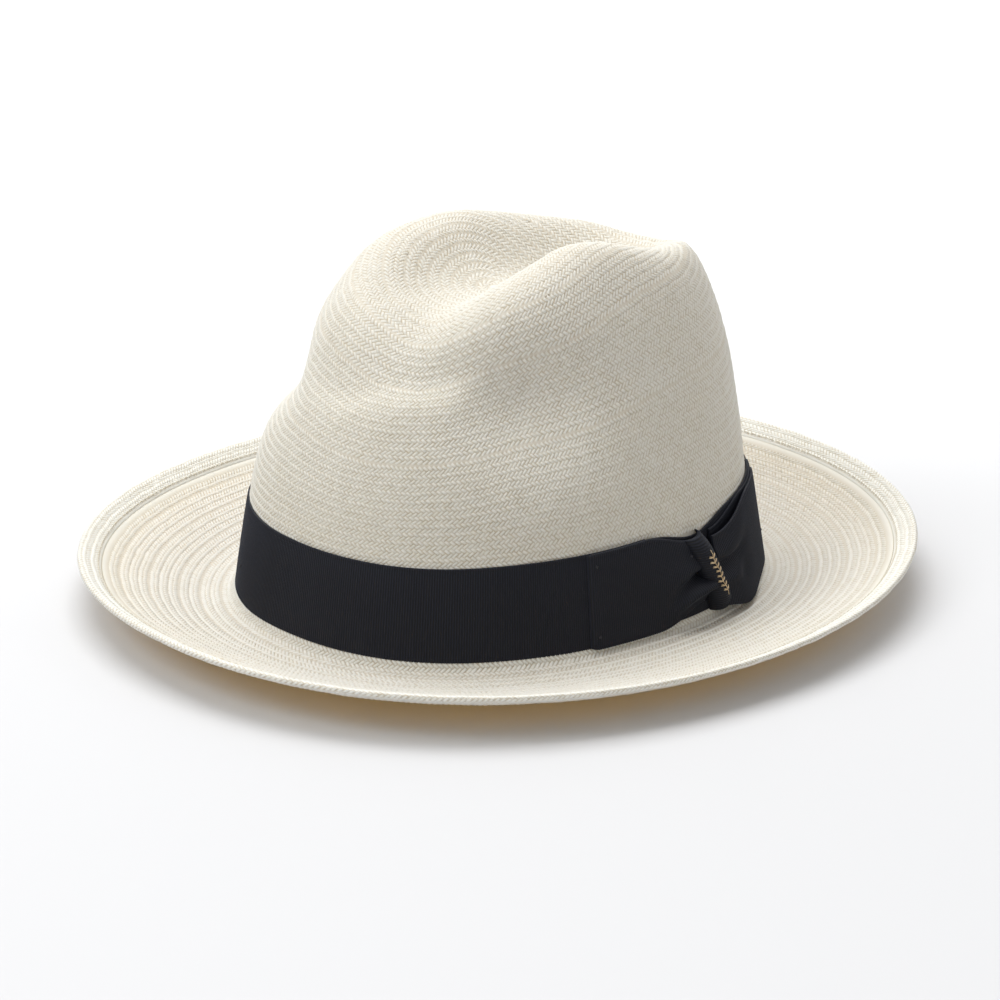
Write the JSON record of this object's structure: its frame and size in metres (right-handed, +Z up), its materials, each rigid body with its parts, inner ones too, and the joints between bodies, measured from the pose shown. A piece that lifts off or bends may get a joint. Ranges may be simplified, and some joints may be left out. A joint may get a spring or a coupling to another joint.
{
  "type": "panama hat",
  "caption": "Woven straw hat with a dented, pinched crown, an upturned folded brim edge, a dark ribbed ribbon band and a flat side bow.",
  "frame": {"origin": "middle of the head opening, on the plane the brim rests on", "axes": "+Z up out of the crown, -Y towards the front, +Y towards the back, +X towards the wearer's left where the bow is"},
  "size_m": [0.2994, 0.3202, 0.1374],
  "materials": {
    "straw": "plaited toquilla straw, satin",
    "straw_thread": "cotton sewing thread",
    "grosgrain": "ribbed grosgrain ribbon, dull satin",
    "gold_thread": "metallic embroidery thread",
    "dark_thread": "sewing thread",
    "sweat_leather": "smooth tan leather",
    "tag_paper": "coated woven label"
  },
  "bodies": {
    "root": {"straw_body": "straw", "brim_edge_stitching": "straw_thread", "hatband_ribbon": "grosgrain", "bow_front_panel": "grosgrain", "bow_rear_wing": "grosgrain", "bow_under_layer": "grosgrain", "bow_knot": "grosgrain", "knot_embroidery": "gold_thread", "ribbon_tacks": "dark_thread", "sweatband": "sweat_leather", "sweatband_reed": "sweat_leather", "sweatband_stitching": "straw_thread", "sweatband_rear_tape": "grosgrain", "sweatband_bow": "grosgrain", "size_tag": "tag_paper"}
  },
  "joints": []
}
